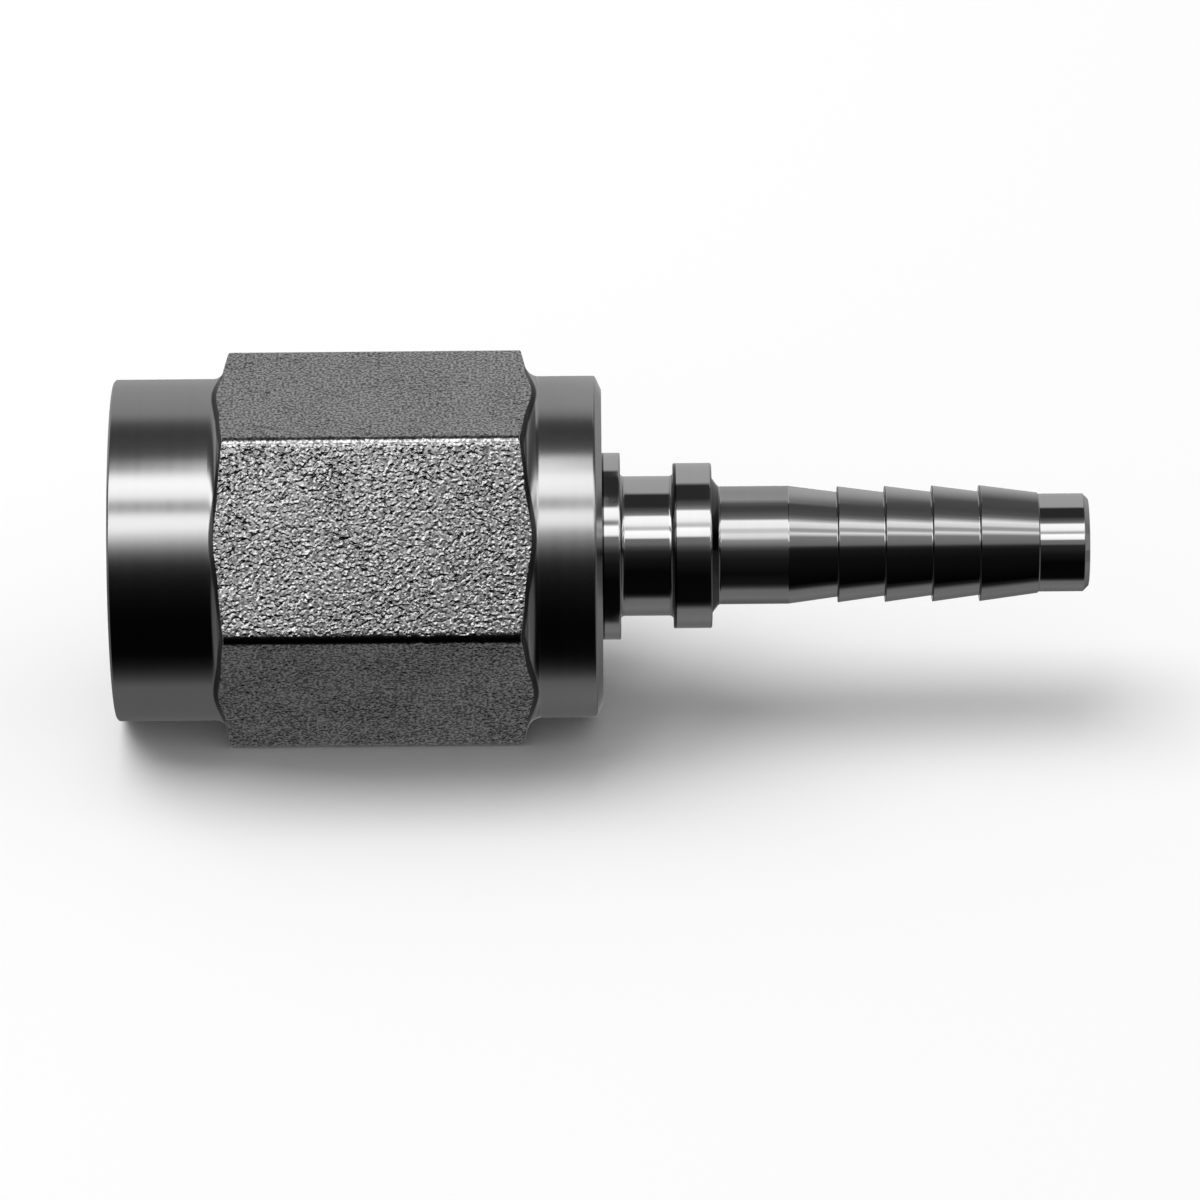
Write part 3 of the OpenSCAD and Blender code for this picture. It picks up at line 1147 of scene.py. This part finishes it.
look_down = math.radians(LOOK_DOWN_DEG)
back = Vector((0, -math.cos(look_down), math.sin(look_down)))
up = Vector((0, math.sin(look_down), math.cos(look_down)))
middle_mm = (PICTURE_PX / 2 - GAUGE_PX_X) / PX_PER_MM
target = Vector((middle_mm, 0, 0)) - up * ((PICTURE_PX / 2 - AXIS_PX_Y) / PX_PER_MM)
camera_data = bpy.data.cameras.new("camera")
camera_data.sensor_width = SENSOR
camera_data.lens = SENSOR * DISTANCE / (PICTURE_PX / PX_PER_MM)
camera_data.clip_start = 0.01
camera = new_object("camera", camera_data)
camera.location = (target + back * DISTANCE) * MM
tilt = math.radians(ROLL_DEG)
level = Vector((1, 0, 0))
rolled_right = level * math.cos(tilt) - up * math.sin(tilt)
camera.rotation_mode = "QUATERNION"
turned = Matrix((rolled_right, back.cross(rolled_right), back)).transposed()
camera.rotation_quaternion = turned.to_quaternion()
bpy.context.scene.camera = camera
print(f"lens {camera_data.lens:.0f} mm at {DISTANCE:.0f} mm")

# %% [markdown]
# The floor and the light
#
# The floor is a plain pale sheet under one large soft lamp. Polished steel shows its surroundings more
# than itself, so a photographer builds a tent of boards round it: two long strip lights above the
# lens, black boards in front and overhead, grey ones behind. The tent here does only that job. It is
# seen in reflections and nowhere else.

# %% The floor and its lamp
FLOOR_Z = nut_low.z * MM
FLOOR_HALF = 3.0
PAPER_GREY = 0.97
PAPER_ROUGHNESS = 0.9
LAMP_PLACE = (-0.35, 0.15, 0.9)
LAMP_SIZE = 0.9
LAMP_WATTS = 7.0
ROOM_STRENGTH = 0.5

floor_mesh = bpy.data.meshes.new("floor")
corners = [(FLOOR_HALF * x, FLOOR_HALF * y, FLOOR_Z) for x, y in ((-1, -1), (1, -1), (1, 1), (-1, 1))]
floor_mesh.from_pydata(corners, [], [(0, 1, 2, 3)])
floor = new_object("floor", floor_mesh)
paper = bpy.data.materials.new("pale_paper")
paper.use_nodes = True
paper_colour = (PAPER_GREY, PAPER_GREY, PAPER_GREY, 1)
matt = {"Base_Color": paper_colour, "Roughness": PAPER_ROUGHNESS, "Specular_IOR_Level": 0.0}
put(paper.node_tree, paper.node_tree.nodes["Principled BSDF"], **matt)
floor_mesh.materials.append(paper)
floor.visible_glossy = False

lamp_data = bpy.data.lights.new("soft_lamp", "AREA")
lamp_data.shape = "SQUARE"
lamp_data.size = LAMP_SIZE
lamp_data.energy = LAMP_WATTS
lamp = new_object("soft_lamp", lamp_data)
lamp.location = LAMP_PLACE
lamp.rotation_mode = "QUATERNION"
lamp.rotation_quaternion = Vector(lamp.location).to_track_quat("Z", "Y")
lamp.visible_glossy = False

world = bpy.data.worlds.new("pale_room")
world.use_nodes = True
put(world.node_tree, world.node_tree.nodes["Background"], Color=(1, 1, 1, 1), Strength=ROOM_STRENGTH)
bpy.context.scene.world = world
print(f"floor {FLOOR_Z / MM:.1f} mm below the axis, lamp {LAMP_PLACE[2]} m up")

# %% [markdown]
# Boards and strips
#
# Each round part mirrors the whole ring of boards as bands along its length, so a list of stops, as
# degrees round the axis and how bright the board is there, sets where each band lies and how sharp its
# edges are. Zero degrees is the front, 90 is above and -90 is below. A photographer shifts the boards
# until each part of the piece shows its strip well, so the nut, its collar, the neck, the land and the
# tail have lists of their own, and a list that differs little from another is written as its changes.
# A cylinder mirrors the boards beside it and a cone mirrors boards further along, so the barbs take
# their light from a section well past the tail's end.

# %% The boards and strips
TENT_R = 0.30
TENT_HALF = 0.9
TENT_GAIN = 2.0
BLACK = 0.001
NUT_BOARDS = (
    (-180, 0.40), (-160, 0.36), (-150, 0.22), (-142, 0.13), (-130, 0.135), (-76, 0.152), (-68, 0.065),
    (-58, 0.012), (-48, BLACK), (-18, BLACK), (0, 0.004), (10, 0.010), (18, 0.03), (25, 0.12),
    (32, 0.44), (38, 0.95), (43, 1.55), (50, 1.60), (53, 0.42), (58, 0.42), (62, 1.50), (72, 1.75),
    (85, 1.60), (91, 0.22), (100, 0.10), (112, 0.06), (120, 0.10), (130, 0.33), (150, 0.37),
    (180, 0.40),
)
STEM_BOARDS = (
    (-180, 0.46), (-150, 0.44), (-133, 0.16), (-115, 0.16), (-95, 0.21), (-73, 0.18), (-64, 0.02),
    (-58, 0.003), (-15, 0.002), (5, 0.009), (18, 0.025), (25, 0.08), (30, 0.18), (38, 0.22), (41, 1.30),
    (51, 1.50), (54, 0.30), (57, 0.30), (61, 1.20), (66, 1.35), (76, 1.40), (79, 0.30), (85, 0.13),
    (95, 0.03), (120, 0.03), (126, 0.45), (150, 0.46), (180, 0.46),
)
LAND_BOARDS = (
    (-180, 0.36), (-150, 0.34), (-133, 0.12), (-118, 0.12), (-98, 0.20), (-73, 0.18), (-62, 0.04),
    (-55, 0.01), (-30, 0.004), (0, 0.013), (15, 0.033), (22, 0.09), (30, 0.26), (36, 0.36), (42, 0.95),
    (48, 1.05), (52, 0.80), (57, 0.78), (62, 1.20), (75, 1.30), (79, 0.28), (85, 0.16), (97, 0.08),
    (106, 0.07), (116, 0.13), (127, 0.37), (150, 0.35), (180, 0.36),
)
TAIL_BOARDS = (
    (-180, 0.35), (-152, 0.28), (-138, 0.11), (-120, 0.12), (-105, 0.19), (-82, 0.19), (-70, 0.02),
    (-60, BLACK), (-2, 0.006), (15, 0.012), (21, 0.03), (27, 0.19), (43, 0.27), (50, 1.05), (54, 0.45),
    (59, 0.45), (63, 0.90), (72, 1.10), (77, 0.55), (82, 0.22), (90, 0.11), (104, 0.08), (130, 0.10),
    (152, 0.24), (180, 0.35),
)
END_BOARDS = (
    (-180, 0.30), (-130, 0.18), (-90, 0.06), (-50, 0.02), (60, 0.01), (110, 0.03), (150, 0.20),
    (180, 0.30),
)
END_DISC = 0.12
SHEET_BOARDS = (
    (-180, 0.30), (-120, 0.16), (-60, 0.13), (-15, 0.11), (0, 0.08), (12, BLACK), (180, BLACK),
)


def varied(boards, changes, turn=0):
    """The same boards with some stops changed, as {degrees: (new degrees, new level)}, and all turned."""
    stops = [changes.get(degrees, (degrees, level)) for degrees, level in boards]
    return [(max(-180, min(180, degrees + turn)), level) for degrees, level in stops]


SKIRT_BOARDS = varied(
    NUT_BOARDS,
    {
        25: (24, 0.13), 32: (30, 0.42), 38: (36, 1.05), 43: (41, 1.60),
        85: (75, 1.75), 91: (82, 0.22), 100: (92, 0.075),
    },
)
COLLAR_BOARDS = varied(
    NUT_BOARDS,
    {
        -76: (-76, 0.20), 10: (10, 0.007), 18: (19, 0.018), 25: (27, 0.07), 32: (34, 0.26),
        38: (40, 0.85), 43: (45, 1.65), 85: (88, 2.00), 91: (92, 0.19),
    },
)
SHANK_BOARDS = varied(
    STEM_BOARDS,
    {
        -95: (-99, 0.21), -73: (-86, 0.19), -64: (-77, 0.02), -58: (-71, 0.003),
        76: (74, 1.40), 79: (77, 0.12), 85: (83, 0.04), 120: (131, 0.03), 126: (136, 0.45),
    },
)
NECK_BOARDS = varied(STEM_BOARDS, {54: (54, 0.75), 57: (57, 0.75)})
NOSE_CHANGES = {25: (26, 0.03), 30: (30, 0.20), 54: (54, 0.55), 57: (57, 0.55)}
NOSE_BOARDS = varied(STEM_BOARDS, NOSE_CHANGES, turn=-6)
SECTIONS = (
    (-0.024, -0.018, NUT_BOARDS),
    (0.002, 0.006, COLLAR_BOARDS),
    (0.0113, 0.0121, SHANK_BOARDS),
    (0.0139, 0.0143, NECK_BOARDS),
    (0.0225, 0.0234, LAND_BOARDS),
    (0.040, 0.048, NOSE_BOARDS),
    (0.060, 0.100, TAIL_BOARDS),
)
print("board lists along the axis:", len(SECTIONS) + 1)

# %% [markdown]
# The tent
#
# One long drum round the axis carries all the boards. Its material works out the angle round the axis
# and the place along it, and passes from one list to the next where the parts of the piece change.
# Sheets at both sides, further out along the axis, light the flat end faces, which see none of the
# strips. The drum is hidden from the camera and casts no light on the floor.

# %% Helpers for the tent
def board_ramp(tree, share, boards):
    """A colour ramp over a full turn, from boards as (degrees round the axis, level)."""
    ramp = tree.nodes.new("ShaderNodeValToRGB")
    feed(tree, ramp.inputs[0], share)
    stops = ramp.color_ramp.elements
    for number, (degrees, level) in enumerate(boards):
        place = degrees / 360 + 0.5
        stop = stops[number] if number < 2 else stops.new(place)
        stop.position = place
        grey = level / TENT_GAIN
        stop.color = (grey, grey, grey, 1)
    return ramp.outputs[0]


def blend_boards(tree, share, first, second, blend="MIX"):
    """Mixes two sets of boards."""
    mix = tree.nodes.new("ShaderNodeMix")
    mix.data_type = "RGBA"
    mix.blend_type = blend
    feed(tree, mix.inputs[0], share)
    feed(tree, mix.inputs[6], first)
    feed(tree, mix.inputs[7], second)
    return mix.outputs[2]


print("a ramp starts at -180 degrees and ends at 180, the front is in its middle")

# %% Build the tent
ENDS = (0.60, 0.85)
SHEETS = (0.15, 0.30)
DISC_EDGE = (0.14, 0.18)
TENT_SIDES = 96


def tent_material():
    """Light whose level depends on the angle round the axis and the place along it."""
    boards = bpy.data.materials.new("boards_and_strips")
    boards.use_nodes = True
    tree = boards.node_tree
    tree.nodes.clear()
    along, y, z = parts_of(tree, place_on_piece(tree))
    angle = maths(tree, "ARCTAN2", z, maths(tree, "MULTIPLY", y, -1.0))
    share = maths(tree, "MULTIPLY_ADD", angle, 1 / math.tau, 0.5)

    def onto(light, where, boards, blend="MIX"):
        return blend_boards(tree, where, light, board_ramp(tree, share, boards), blend)

    light = board_ramp(tree, share, SKIRT_BOARDS)
    for low, high, section in SECTIONS:
        light = onto(light, map_between(tree, along, low, high), section)
    out = maths(tree, "ABSOLUTE", along)
    light = onto(light, map_between(tree, out, *ENDS), END_BOARDS)
    light = onto(light, map_between(tree, out, *SHEETS), SHEET_BOARDS, "LIGHTEN")
    off_axis = tree.nodes.new("ShaderNodeVectorMath")
    off_axis.operation = "LENGTH"
    feed(tree, off_axis.inputs[0], vector_of(tree, 0.0, y, z))
    disc = (END_DISC, END_DISC, END_DISC, 1)
    light = blend_boards(tree, map_between(tree, off_axis.outputs["Value"], *DISC_EDGE), disc, light)
    glow = node_with(tree, "ShaderNodeEmission", Color=light, Strength=TENT_GAIN)
    node_with(tree, "ShaderNodeOutputMaterial", Surface=glow.outputs[0])
    return boards


tent_mesh = rod_mesh("light_tent", TENT_R, 2 * TENT_HALF, TENT_SIDES, (1, 0, 0), "Y")
tent_mesh.materials.append(tent_material())
tent = new_object("light_tent", tent_mesh)
tent.visible_camera = False
tent.visible_diffuse = False
tent.visible_shadow = False
tent.visible_transmission = False
tent.visible_volume_scatter = False
bpy.context.scene.view_settings.view_transform = "Standard"
print(f"tent: {2 * TENT_R} m across, {2 * TENT_HALF} m long")
